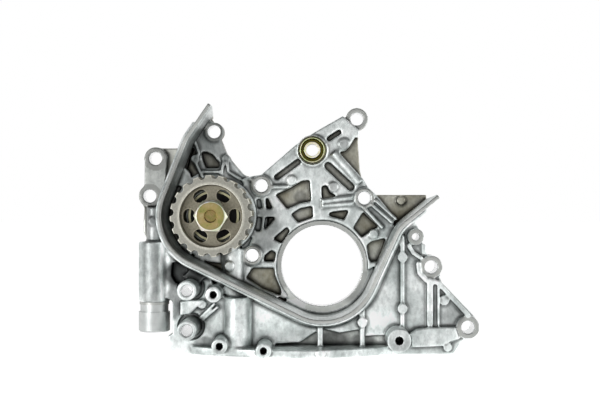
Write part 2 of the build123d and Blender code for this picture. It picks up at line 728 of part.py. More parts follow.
with BuildPart() as timing_case:
    add(apron.part)

    # floor of the belt chamber, ear plate, raised web, upper left peak and lower plate
    extrude(front(0) * chamber_face.sketch, amount=floor_depth)
    extrude(outline(front(0), ear_outline), amount=ear_depth)
    extrude(outline(front(0), web_outline), amount=rib_depth)
    extrude(outline(front(0), peak_outline), amount=peak_depth)
    extrude(front(0) * plate_face.sketch, amount=plate_depth)

    # pockets between the ribs, slots beside the arm's ribs, and the hollow behind the lower plate
    pockets = [
        outline(front(floor_depth), pocket, pocket_corner_radius) for pocket in web_pockets + peak_pockets
    ]
    slots = [bar(front(slot_depth), *slot) for slot in arm_slots]
    cuts = [extrude(pocket, amount=rib_depth, mode=Mode.PRIVATE) for pocket in pockets + slots]
    cuts += [
        extrude(outline(front(depth), pocket, pocket_corner_radius), amount=pocket_cut, mode=Mode.PRIVATE)
        for depth, pocket in plate_pockets
    ]
    cuts += [column(x, z, well_radius, well_depth, plate_depth) for x, z in well_places]
    cuts.append(extrude(front(0) * plate_hollow.sketch, amount=plate_back_depth, mode=Mode.PRIVATE))
    cuts.append(column(0, 0, crank_bore_radius + crank_ring_wall, crank_ring_depth, rib_depth))
    add(cuts, mode=Mode.SUBTRACT)

    # belt wall and the step on its outer side
    extrude(front(0) * wall_face.sketch, amount=wall_depth)
    extrude(front(0) * step_face.sketch, amount=wall_step_depth)

    # the wall's overhanging tips are cut back behind
    left_cut = outline(Plane.YZ.offset(wall_left_bend[0]), left_tip_side)
    extrude(left_cut, amount=tip_cut_width, mode=Mode.SUBTRACT)
    right_cut = outline(Plane.XY.offset(right_tip_low), right_tip_plan)
    extrude(right_cut, amount=tip_cut_height, mode=Mode.SUBTRACT)

    # oil pan flange with a front edge that bows out in the middle
    with BuildSketch(Plane.XY.offset(pan_z)):
        with BuildLine():
            Spline(*pan_flange_edge)
            Polyline(
                pan_flange_edge[-1],
                (pan_flange_edge[-1][0], 0),
                (pan_flange_edge[0][0], 0),
                pan_flange_edge[0],
            )
        make_face()
    extrude(amount=pan_flange_height)

    # crankshaft ring, pump housing, seal boss, relief valve cylinder and oil inlet
    forms = [
        column(0, 0, crank_bore_radius + crank_ring_wall, 0, crank_ring_depth),
        column(*cover_axis, housing_radius, 0, housing_step_depth),
        column(*cover_axis, housing_nose_radius, 0, housing_front_depth),
        column(*pump_axis, seal_boss_radius, 0, seal_front_depth),
        column(*discharge_port, port_width / 2 + port_wall, 0, housing_step_depth),
        column(*relief_port, port_width / 2 + port_wall, 0, housing_step_depth),
        upright(relief_x, relief_depth, relief_body_radius, relief_body_low, relief_body_high),
        upright(relief_duct_x, relief_duct_depth, relief_duct_radius, relief_body_high, relief_duct_top),
        upright(inlet_x, inlet_depth, inlet_radius, pan_z, inlet_top),
        upright(column_x, column_depth, column_radius, column_low, column_top),
    ]
    forms += [extrude(outline(front(0), pad), amount=depth, mode=Mode.PRIVATE) for depth, pad in raised_pads]
    add(forms)

    # ribs, bumps and bosses
    bosses = [*case_bosses.values(), *thread_posts]
    forms = [column(boss.x, boss.z, boss.radius, 0, boss.depth) for boss in bosses]
    forms += [column(x, z, radius, bump_back_depth, depth) for x, z, radius, depth in ejector_bumps]
    forms += [rod(*rib) for rib in round_ribs]
    for points, width, depth in ridges:
        forms += ridge(points, width, ridge_back_depth, depth)
    for low, high, width, depth in plate_ribs:
        forms += ridge([low, high], width, plate_back_depth, depth)
    forms.append(column(collar_x, collar_z, collar_radius + collar_boss_wall, 0, collar_boss_depth))
    add(forms)

    # rotor chamber, cover seat and shaft bores
    bores = [
        column(*cover_axis, cover_radius + cover_clearance, 0, cover_front_depth),
        column(*cover_axis, chamber_radius, 0, chamber_front_depth),
        column(*pump_axis, bush_outer_radius, 0, seal_front_depth),
        column(*pump_axis, seal_radius, seal_back_depth, seal_front_depth),
        column(collar_x, collar_z, collar_radius, collar_seat_depth, collar_front_depth),
        column(collar_x, collar_z, case_hole_radius, 0, collar_front_depth),
        column(0, 0, crank_bore_radius, 0, wall_depth),
    ]
    # oil ports beside the rotors, and the channel that feeds the relief valve
    for angle in (discharge_angle, relief_port_angle):
        inner = polar(cover_axis, chamber_radius - port_width / 2, angle)
        outer = polar(cover_axis, port_circle_radius, angle)
        port = bar(front(cover_front_depth), inner, outer, port_width)
        bores.append(extrude(port, amount=port_height, mode=Mode.PRIVATE))
        bores.append(column(*outer, port_width / 2, 0, cover_front_depth))
    feed = bar(front(0), relief_port, (relief_x, relief_bore_top), feed_width)
    bores.append(extrude(feed, amount=feed_depth, mode=Mode.PRIVATE))
    bores.append(column(relief_x, relief_bore_top, feed_width / 2, 0, relief_depth))
    # relief valve bore, oil inlet and its column
    bores.append(upright(relief_x, relief_depth, relief_bore_radius, relief_body_low, relief_bore_top))
    bores.append(upright(relief_x, relief_depth, relief_thread_radius, relief_body_low, relief_thread_top))
    bores.append(upright(inlet_x, inlet_depth, inlet_bore_radius, pan_z, inlet_bore_top))
    bores.append(upright(column_x, column_depth, column_bore_radius, column_bore_low, column_bore_top))
    # holes for cover screws, dowels, case bolts and the threads in the posts
    bores += [column(x, z, cover_screw_radius, 0, cover_screw_end) for x, z in cover_screw_places]
    bores += [column(x, z, dowel_radius, 0, dowel_end) for x, z in dowel_places]
    bores += [column(boss.x, boss.z, boss.hole, 0, boss.depth) for boss in case_bosses.values()]
    bores += [
        column(post.x, post.z, post.hole, post.depth - post_thread_depth, post.depth) for post in thread_posts
    ]
    add(bores, mode=Mode.SUBTRACT)
timing_case.part.label = "timing_case"
export_step(timing_case.part, "parts/timing_case.step")

# Rotor chamber's driven rotor: round lobes stand in from a ring
with BuildPart() as driven_rotor:
    with BuildSketch(Plane(origin=(driven_x, -rotor_back_depth, pump_z), x_dir=(1, 0, 0), z_dir=(0, -1, 0))):
        Circle(rotor_outer_radius)
        Circle(lobe_circle_radius + 2 * rotor_offset - lobe_radius + rotor_tip_clearance, mode=Mode.SUBTRACT)
        with PolarLocations(lobe_circle_radius, driven_lobes):
            Circle(lobe_radius)
        Circle(rotor_outer_radius, mode=Mode.INTERSECT)
    extrude(amount=rotor_width)
driven_rotor.part.label = "driven_rotor"
export_step(driven_rotor.part, "parts/driven_rotor.step")

# Drive rotor: its flank is the driven rotor's lobe rolled round it, so the two stay in mesh
with BuildPart() as drive_rotor:
    with BuildSketch(pump_front(rotor_back_depth)):
        with BuildLine():
            for step in range(drive_flank_arcs):
                turns = [2 * pi * (step + part) / drive_flank_arcs for part in (0, 0.5, 1)]
                ThreePointArc(*[drive_flank(turn) for turn in turns])
        make_face()
        Circle(shaft_tail_radius, mode=Mode.SUBTRACT)
        with Locations((0, shaft_tail_radius)):
            Rectangle(key_width, key_height, mode=Mode.SUBTRACT)
    extrude(amount=rotor_width)
drive_rotor.part.label = "drive_rotor"
export_step(drive_rotor.part, "parts/drive_rotor.step")

# Pump shaft: tail in the cover's bush, journal under the seal, nose in the pulley
with BuildPart() as pump_shaft:
    with BuildSketch(pump_front(shaft_back_depth)):
        Circle(shaft_tail_radius)
    extrude(amount=shaft_shoulder_depth - shaft_back_depth)
    with BuildSketch(pump_front(shaft_shoulder_depth)):
        Circle(shaft_radius)
    extrude(amount=hub_back_depth - shaft_shoulder_depth)
    with BuildSketch(pump_front(hub_back_depth)):
        Circle(shaft_nose_radius)
    extrude(amount=shaft_front_depth - hub_back_depth)
    chamfer(pump_shaft.faces().sort_by(Axis.Y)[0].edges(), shaft_chamfer)
    chamfer(pump_shaft.faces().sort_by(Axis.Y)[-1].edges(), shaft_chamfer)
    with BuildSketch(pump_front(hub_front_depth - bolt_hole_length)):
        Circle(bolt_thread_radius)
    extrude(amount=bolt_hole_length, mode=Mode.SUBTRACT)
    with BuildSketch(pump_front(pulley_key_back)):
        with Locations((0, shaft_nose_radius)):
            Rectangle(key_width, key_height)
    extrude(amount=pulley_key_length, mode=Mode.SUBTRACT)
    with BuildSketch(pump_front(rotor_key_back)):
        with Locations((0, shaft_tail_radius)):
            Rectangle(key_width, key_height)
    extrude(amount=rotor_key_length, mode=Mode.SUBTRACT)
pump_shaft.part.label = "pump_shaft"
export_step(pump_shaft.part, "parts/pump_shaft.step")

with BuildPart() as pulley_key:
    with BuildSketch(pump_front(pulley_key_back)):
        with Locations((0, shaft_nose_radius)):
            Rectangle(key_width, key_height)
    extrude(amount=pulley_key_length)
pulley_key.part.label = "pulley_key"
export_step(pulley_key.part, "parts/pulley_key.step")

with BuildPart() as rotor_key:
    with BuildSketch(pump_front(rotor_key_back)):
        with Locations((0, shaft_tail_radius)):
            Rectangle(key_width, key_height)
    extrude(amount=rotor_key_length)
rotor_key.part.label = "rotor_key"
export_step(rotor_key.part, "parts/rotor_key.step")

# Pulley: a toothed rim round a web with windows, open at both faces like a cup
with BuildPart() as pump_pulley:
    with BuildSketch(pump_front(pulley_back_depth)):
        Circle(pulley_radius)
    extrude(amount=pulley_width)
    with BuildSketch(pump_front(pulley_back_depth)):
        Circle(pulley_rim_inner_radius)
    extrude(amount=web_back_depth - pulley_back_depth, mode=Mode.SUBTRACT)
    with BuildSketch(pump_front(web_front_depth)):
        Circle(pulley_rim_inner_radius)
    extrude(amount=pulley_web_recess, mode=Mode.SUBTRACT)
    with BuildSketch(pump_front(hub_back_depth)):
        Circle(pulley_hub_radius)
    extrude(amount=hub_front_depth - hub_back_depth)
    with BuildSketch(pump_front(hub_back_depth)):
        Circle(shaft_nose_radius)
        with Locations((0, shaft_nose_radius)):
            Rectangle(key_width, key_height)
    extrude(amount=hub_front_depth - hub_back_depth, mode=Mode.SUBTRACT)
    with BuildSketch(pump_front(web_back_depth)):
        with PolarLocations(window_circle_radius, window_count):
            RectangleRounded(window_width, window_length, window_corner_radius)
    extrude(amount=pulley_web_thickness, mode=Mode.SUBTRACT)
    with BuildSketch(pump_front(pulley_back_depth)):
        with PolarLocations(tooth_gap_circle_radius, pulley_teeth, start_angle=pulley_first_gap):
            Circle(tooth_gap_width / 2)
    extrude(amount=pulley_width, mode=Mode.SUBTRACT)
pump_pulley.part.label = "pump_pulley"
export_step(pump_pulley.part, "parts/pump_pulley.step")

# Pulley bolt: a flanged hexagon head with a shallow dish in its face
with BuildPart() as pulley_bolt:
    with BuildSketch(pump_front(hub_front_depth - bolt_length)):
        Circle(bolt_thread_radius)
    extrude(amount=bolt_length)
    with BuildSketch(pump_front(hub_front_depth)):
        Circle(bolt_flange_radius)
    extrude(amount=bolt_flange_height)
    with BuildSketch(pump_front(hub_front_depth)):
        RegularPolygon(bolt_head_across_flats / 2, 6, major_radius=False, rotation=bolt_head_turn)
    extrude(amount=bolt_head_height)
    with BuildSketch(turning_plane(pump_x, pump_z)):
        with BuildLine():
            Polyline(
                (bolt_head_across_flats / 2 - bolt_corner_land, bolt_front_depth),
                (bolt_cut_radius, bolt_front_depth - bolt_corner_cut),
                (bolt_cut_radius, bolt_front_depth),
                close=True,
            )
        make_face()
    revolve(axis=Axis((pump_x, 0, pump_z), (0, 1, 0)), mode=Mode.SUBTRACT)
    with BuildSketch(pump_front(bolt_front_depth - bolt_dish_depth)):
        Circle(bolt_dish_radius)
    extrude(amount=bolt_dish_depth, mode=Mode.SUBTRACT)
pulley_bolt.part.label = "pulley_bolt"
export_step(pulley_bolt.part, "parts/pulley_bolt.step")

# Front bush in the case and rear bush in the cover
with BuildPart() as front_bush:
    with BuildSketch(pump_front(chamber_front_depth)):
        Circle(bush_outer_radius)
        Circle(shaft_radius + running_clearance, mode=Mode.SUBTRACT)
    extrude(amount=bush_length)
front_bush.part.label = "front_bush"
export_step(front_bush.part, "parts/front_bush.step")

with BuildPart() as rear_bush:
    with BuildSketch(pump_front(cover_recess)):
        Circle(rear_bush_outer_radius)
        Circle(shaft_tail_radius + running_clearance, mode=Mode.SUBTRACT)
    extrude(amount=cover_thickness)
rear_bush.part.label = "rear_bush"
export_step(rear_bush.part, "parts/rear_bush.step")

# Shaft seal: a pressed steel case, a rubber lip and its garter spring
with BuildPart() as seal_case:
    with BuildSketch(turning_plane(pump_x, pump_z)):
        with BuildLine():
            Polyline(
                (seal_radius, seal_back_depth),
                (seal_radius, seal_front_depth),
                (seal_face_inner_radius, seal_front_depth),
                (seal_face_inner_radius, seal_front_depth - seal_case_wall),
                (seal_radius - seal_case_wall, seal_front_depth - seal_case_wall),
                (seal_radius - seal_case_wall, seal_back_depth),
                close=True,
            )
        make_face()
    revolve(axis=Axis((pump_x, 0, pump_z), (0, 1, 0)))
seal_case.part.label = "seal_case"
export_step(seal_case.part, "parts/seal_case.step")

with BuildPart() as seal_lip:
    with BuildSketch(turning_plane(pump_x, pump_z)):
        with BuildLine():
            Polyline(
                *[(shaft_radius + gap, seal_front_depth - depth) for gap, depth in seal_lip_profile],
                close=True,
            )
        make_face()
    revolve(axis=Axis((pump_x, 0, pump_z), (0, 1, 0)))
seal_lip.part.label = "seal_lip"
export_step(seal_lip.part, "parts/seal_lip.step")

with BuildPart() as seal_spring:
    with BuildSketch(turning_plane(pump_x, pump_z)):
        with Locations((seal_spring_radius, seal_front_depth - seal_spring_depth)):
            RegularPolygon(seal_spring_wire, seal_spring_sides)
    revolve(axis=Axis((pump_x, 0, pump_z), (0, 1, 0)))
seal_spring.part.label = "seal_spring"
export_step(seal_spring.part, "parts/seal_spring.step")

# Pump cover, screwed and dowelled to the rear of the housing
with BuildPart() as pump_cover:
    with BuildSketch(front(cover_recess)):
        with Locations(cover_axis):
            Circle(cover_radius)
        with Locations(pump_axis):
            Circle(rear_bush_outer_radius, mode=Mode.SUBTRACT)
        with Locations(*cover_screw_places):
            Circle(cover_screw_radius, mode=Mode.SUBTRACT)
        with Locations(*dowel_places):
            Circle(dowel_radius, mode=Mode.SUBTRACT)
    extrude(amount=cover_thickness)
    with BuildSketch(front(cover_front_depth - ring_groove_depth)):
        with Locations(cover_axis):
            Circle(ring_groove_outer_radius)
            Circle(ring_groove_radius, mode=Mode.SUBTRACT)
    extrude(amount=ring_groove_depth, mode=Mode.SUBTRACT)
    add([screw_head(x, z) for x, z in cover_screw_places], mode=Mode.SUBTRACT)
pump_cover.part.label = "pump_cover"
export_step(pump_cover.part, "parts/pump_cover.step")

with BuildPart() as cover_screws:
    add([screw_head(x, z) for x, z in cover_screw_places])
    with BuildSketch(front(cover_recess)):
        with Locations(*cover_screw_places):
            Circle(cover_screw_radius)
    extrude(amount=cover_screw_length)
    with BuildSketch(front(cover_recess)):
        with Locations(*cover_screw_places):
            RegularPolygon(screw_socket_across_flats / 2, 6, major_radius=False)
    extrude(amount=screw_socket_depth, mode=Mode.SUBTRACT)
cover_screws.part.label = "cover_screws"
export_step(cover_screws.part, "parts/cover_screws.step")

with BuildPart() as cover_dowels:
    with BuildSketch(front(dowel_back_depth)):
        with Locations(*dowel_places):
            Circle(dowel_radius)
    extrude(amount=dowel_length)
cover_dowels.part.label = "cover_dowels"
export_step(cover_dowels.part, "parts/cover_dowels.step")

with BuildPart() as cover_seal_ring:
    with BuildSketch(front(cover_front_depth - ring_groove_depth)):
        with Locations(cover_axis):
            Circle(ring_groove_outer_radius)
            Circle(ring_groove_radius, mode=Mode.SUBTRACT)
    extrude(amount=ring_groove_depth)
cover_seal_ring.part.label = "cover_seal_ring"
export_step(cover_seal_ring.part, "parts/cover_seal_ring.step")

# Relief valve, from the top: plunger, spring, washer and plug


def relief_plan(height):
    """Sketch plane across the relief valve's axis."""
    return Plane(origin=(relief_x, -relief_depth, height), x_dir=(1, 0, 0), z_dir=(0, 0, 1))


with BuildPart() as relief_plunger:
    with BuildSketch(relief_plan(relief_rest_low)):
        Circle(relief_bore_radius - relief_clearance)
    extrude(amount=relief_plunger_length)
    with BuildSketch(relief_plan(relief_rest_low)):
        Circle(relief_bore_radius - relief_clearance - relief_plunger_wall)
    extrude(amount=relief_plunger_length - relief_crown, mode=Mode.SUBTRACT)
    chamfer(relief_plunger.faces().sort_by(Axis.Z)[-1].edges(), relief_plug_chamfer)
relief_plunger.part.label = "relief_plunger"
export_step(relief_plunger.part, "parts/relief_plunger.step")

spring_low = relief_plug_top - relief_pocket_depth + relief_spring_wire / 2
spring_high = relief_rest_top - relief_crown - relief_spring_wire / 2
spring_steps = relief_spring_turns * spring_steps_per_turn
with BuildPart() as relief_spring:
    for step in range(spring_steps + 1):
        turn = radians(360 * step / spring_steps_per_turn)
        spoke = Vector(cos(turn), sin(turn), 0)
        rise = (spring_high - spring_low) * step / spring_steps
        centre = Vector(relief_x, -relief_depth, spring_low + rise) + spoke * relief_spring_radius
        with BuildSketch(Plane(origin=centre, x_dir=spoke, z_dir=(-sin(turn), cos(turn), 0))):
            RegularPolygon(relief_spring_wire / 2, spring_wire_sides)
    loft(ruled=True)
relief_spring.part.label = "relief_spring"
export_step(relief_spring.part, "parts/relief_spring.step")

with BuildPart() as relief_washer:
    with BuildSketch(relief_plan(relief_plug_top)):
        Circle(relief_washer_radius)
        Circle(relief_thread_radius, mode=Mode.SUBTRACT)
    extrude(amount=relief_washer_thickness)
relief_washer.part.label = "relief_washer"
export_step(relief_washer.part, "parts/relief_washer.step")

with BuildPart() as relief_plug:
    with BuildSketch(relief_plan(relief_plug_head_top - relief_plug_height)):
        Circle(relief_plug_radius)
    extrude(amount=relief_plug_height)
    chamfer(relief_plug.faces().sort_by(Axis.Z)[0].edges(), relief_plug_chamfer)
    with BuildSketch(relief_plan(relief_plug_head_top - relief_plug_height)):
        RegularPolygon(relief_plug_socket / 2, 6, major_radius=False, rotation=relief_plug_turn)
    extrude(amount=relief_plug_socket_depth, mode=Mode.SUBTRACT)
    with BuildSketch(relief_plan(relief_plug_head_top)):
        Circle(relief_collar_radius)
    extrude(amount=relief_plug_top - relief_plug_head_top)
    with BuildSketch(relief_plan(relief_plug_top)):
        Circle(relief_thread_radius)
    extrude(amount=relief_washer_thickness + relief_thread_length)
    with BuildSketch(relief_plan(relief_plug_top - relief_pocket_depth)):
        Circle(relief_spring_radius + relief_spring_wire / 2 + relief_pocket_gap)
    extrude(amount=relief_pocket_depth + relief_washer_thickness + relief_thread_length, mode=Mode.SUBTRACT)
relief_plug.part.label = "relief_plug"
export_step(relief_plug.part, "parts/relief_plug.step")

# Idler collar: a plated cup round a tube, pressed into the upper boss
with BuildPart() as idler_collar:
    with BuildSketch(turning_plane(collar_x, collar_z)):
        with BuildLine():
            Polyline(
                (collar_hole_radius, collar_seat_depth),
                (collar_radius, collar_seat_depth),
                (collar_radius, collar_front_depth - collar_rim_chamfer),
                (collar_radius - collar_rim_chamfer, collar_front_depth),
                (collar_cup_radius, collar_front_depth),
                (collar_cup_radius, collar_seat_depth + collar_floor),
                (collar_tube_radius, collar_seat_depth + collar_floor),
                (collar_tube_radius, collar_front_depth),
                (collar_hole_radius, collar_front_depth),
                close=True,
            )
        make_face()
    revolve(axis=Axis((collar_x, 0, collar_z), (0, 1, 0)))
idler_collar.part.label = "idler_collar"
export_step(idler_collar.part, "parts/idler_collar.step")
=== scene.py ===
import json
from math import radians

import bpy
import numpy as np
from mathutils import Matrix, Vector


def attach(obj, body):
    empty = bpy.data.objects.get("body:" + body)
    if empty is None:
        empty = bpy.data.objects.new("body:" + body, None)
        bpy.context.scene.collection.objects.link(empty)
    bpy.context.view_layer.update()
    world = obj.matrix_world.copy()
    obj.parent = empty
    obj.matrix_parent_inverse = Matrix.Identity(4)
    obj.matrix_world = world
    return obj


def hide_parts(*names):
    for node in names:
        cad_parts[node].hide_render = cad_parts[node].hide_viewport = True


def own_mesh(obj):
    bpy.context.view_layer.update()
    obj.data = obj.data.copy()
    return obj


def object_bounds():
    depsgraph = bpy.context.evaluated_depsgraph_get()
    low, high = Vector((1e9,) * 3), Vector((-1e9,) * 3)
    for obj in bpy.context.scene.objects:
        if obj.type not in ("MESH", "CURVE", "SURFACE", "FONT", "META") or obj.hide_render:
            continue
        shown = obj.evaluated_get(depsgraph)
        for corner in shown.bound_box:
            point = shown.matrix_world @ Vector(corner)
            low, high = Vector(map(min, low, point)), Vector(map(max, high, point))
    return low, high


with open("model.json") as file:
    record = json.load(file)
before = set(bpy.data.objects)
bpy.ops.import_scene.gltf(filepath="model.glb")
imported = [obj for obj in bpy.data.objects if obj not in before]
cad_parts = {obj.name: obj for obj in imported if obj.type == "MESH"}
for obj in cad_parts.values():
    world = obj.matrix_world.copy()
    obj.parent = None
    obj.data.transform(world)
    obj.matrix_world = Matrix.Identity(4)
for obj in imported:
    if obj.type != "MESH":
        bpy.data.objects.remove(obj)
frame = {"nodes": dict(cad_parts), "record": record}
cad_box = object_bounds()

# Engine oil pump in a cast front case, dressed for its photograph.
# Lengths are metres in the frame's own axes: +Z up, front towards -Y, origin at the crankshaft
# bore on the rear gasket face.

MM = 0.001

# Camera: on the line that the photograph was taken along, with the picture's centre set off it
IMAGE_SIZE = (600, 400)
AXIS_PIXEL = (312, 205)
CAMERA_PLACE = (-7.69 * MM, -815 * MM, 46.6 * MM)
FOCAL_PIXELS = 1040.0
SENSOR_WIDTH = 36.0

# Studio round the part: height from below (0) to overhead (1), and how bright it is there
SKY = [(0.0, 1.0), (0.46, 0.95), (0.54, 0.80), (0.64, 0.45), (0.80, 0.15), (1.0, 0.08)]

# Where behind the part (Y of the direction) the white background starts and is full in reflections
BACK_EDGE = (0.0, 0.35)

# Floor: its reach, the gap under the part, and the light that it gives back to the camera, so that
# it is white outside the shadow
FLOOR_REACH = 6.0
FLOOR_GAP = 0.2 * MM
FLOOR_GLOW = 0.85

# Rounded edges of the cast, sintered and plated pieces: voxel of the remeshed copy, rounds of smoothing
CASE_VOXEL = 0.75 * MM
CASE_SMOOTHING = 3
PULLEY_VOXEL = 0.3 * MM
BOLT_VOXEL = 0.25 * MM
SMALL_SMOOTHING = 1

# Machined faces of the case: how near a face lies to count, the belt wall's depth forward of the
# gasket face, the crank ring's inner and outer radius and its depth, and a bolt face round its hole
FACE_TOLERANCE = 0.45 * MM
BORE_TOLERANCE = 0.3 * MM
WALL_DEPTH = 55 * MM
CRANK_RING = (31.0 * MM, 35.6 * MM, 15.0 * MM)
BOLT_FACE_WIDTH = 4.5 * MM
FACING = 0.9

# Depths between which the case goes from the darker olive tone painted as shade on its floors to bright grey,
# the pulley from painted shade on its recessed web to its rim's tone, and the idler collar from painted shade
# in its groove to its face's tone
FLOOR_SHADE_DEPTHS = (8 * MM, 14 * MM)
WEB_SHADE_DEPTHS = (49.5 * MM, 55 * MM)
GROOVE_SHADE_DEPTHS = (19 * MM, 22.5 * MM)

# Painted shade and painted light on the case: patches that darken or lighten it where shade and highlights
# fall; centre x and z, reach in x and z, the depths between which it lies, and the tone; all lengths in
# millimetres. The tone is full from the edge share of the reach, set on the next line, inside the rim.
PAINTED_PATCH_EDGE = 0.35
PAINTED_SHADE_AND_LIGHT_PATCHES = [
    (-82, 92, 26, 24, 2, 40, 0.50),
    (-97, 72, 10, 14, 2, 30, 0.65),
    (-128, 62, 17, 42, 2, 20, 0.55),
    (-44, 28, 14, 22, 2, 40, 0.55),
    (-105, -6, 22, 14, 2, 27, 0.10),
    (-114, -28, 8, 16, 2, 60, 0.40),
    (-62, -14, 12, 10, 2, 40, 0.50),
    (-95, -43, 8, 8, 2, 44, 0.45),
    (-130, 0, 8, 60, 10, 60, 0.50),
    (-120, -2, 5, 30, 10, 60, 1.8),
    (-107, 8, 6, 8, 2, 40, 0.45),
    (-66, -55, 10, 7, 2, 30, 0.45),
    (-78, -42, 9, 10, 2, 30, 1.25),
    (-90, -57, 9, 4, 2, 30, 0.45),
    (-81, -24, 6, 6, 40, 62, 0.72),
    (-76, -62, 6, 6, 40, 62, 0.68),
    (-44, -66, 6, 6, 40, 62, 1.35),
    (-100, -48, 8, 9, 30, 62, 0.72),
    (57, -54, 11, 11, 40, 62, 0.68),
    (-17, 53, 6, 6, 2, 12, 0.50),
    (17, 93, 5, 5, 2, 40, 0.60),
    (8, 60, 5, 5, 2, 40, 0.60),
    (-34, 65, 5, 5, 2, 40, 0.75),
    (-30, -57, 16, 5, 2, 22, 0.40),
    (8, -57, 16, 7, 2, 22, 0.38),
    (32, -58, 11, 7, 2, 22, 0.45),
    (92, -22, 10, 14, 2, 22, 0.75),
    (100, -38, 10, 10, 2, 30, 0.65),
    (-81, 38, 27, 27, 2, 45, 0.10),
    (46, -46, 22, 16, 2, 30, 1.42),
    (-36, -40, 28, 14, 2, 30, 1.30),
    (-62, -50, 10, 14, 2, 30, 1.25),
    (-68, -68, 16, 6, 2, 60, 0.80),
    (0, -36, 36, 14, 10, 18, 2.00),
    (-24, -28, 12, 14, 10, 18, 2.00),
    (-119, 62, 20, 70, 45, 60, 0.62),
    (60, -10, 30, 60, 45, 60, 1.25),
    (-42, -9, 16, 12, 2, 9, 1.35),
    (-24, 56, 12, 12, 2, 9, 1.20),
    (60, 47, 16, 10, 2, 9, 1.25),
]

# Rounds of smoothing that find narrow and wide hollows, and the depth in mm that counts in full; the case is
# painted darker in them as shade and lighter on crests as highlights
CREASE_ROUNDS = 5
HOLLOW_ROUNDS = 40
CREASE_REACH = 0.22
HOLLOW_REACH = 1.1

# Tones in rings round the axes of the pulley, the bolt's head and the collar, as shares of a reach. The
# pulley's bright rings are painted highlights on its rim's chamfer and on its tooth tips; the bolt's bright
# band from 0.785 outward is a painted highlight on the head's edge, and the rings inside it make the head's
# face lighter and darker.
PULLEY_RING_REACH = 40 * MM
PULLEY_HIGHLIGHT_RINGS = [
    (0.0, 0.88), (0.565, 0.88), (0.58, 1.45), (0.605, 1.45), (0.63, 0.95), (0.725, 0.95), (0.738, 1.5),
]
ZINC_RING_REACH = 13 * MM
BOLT_HIGHLIGHT_RINGS = [
    (0.0, (0.72, 0.68, 0.62)), (0.36, (0.60, 0.54, 0.42)), (0.43, (0.86, 0.85, 0.74)),
    (0.71, (0.80, 0.80, 0.72)), (0.755, (0.60, 0.62, 0.57)), (0.785, (1.6, 1.9, 3.4)),
    (1.0, (1.6, 1.9, 3.4)),
]
COLLAR_RINGS = [
    (0.0, (2.0, 2.3, 3.3)), (0.50, (2.0, 2.3, 3.3)), (0.52, (1.0, 1.0, 1.0)), (0.62, (1.5, 1.8, 2.2)),
    (0.70, (1.5, 1.8, 2.2)), (0.74, (0.38, 0.42, 0.6)),
]

# Sockets of a colour mix: its factor, two colours and result
MIX_FACTOR, MIX_FIRST, MIX_SECOND, MIX_RESULT = 0, 6, 7, 2

body_of_node = {
    node: body for body, nodes in frame["record"]["behaviour"]["bodies"].items() for node in nodes
}
slot_of_node = {part["node"]: part["material_slot"] for part in frame["record"]["subparts"]}
mounts = {mount["name"]: mount for mount in frame["record"]["mounts"]}
PUMP_AXIS = mounts["pulley_belt_seat"]["pos_m"]
COLLAR_AXIS = mounts["collar_hole"]["pos_m"]


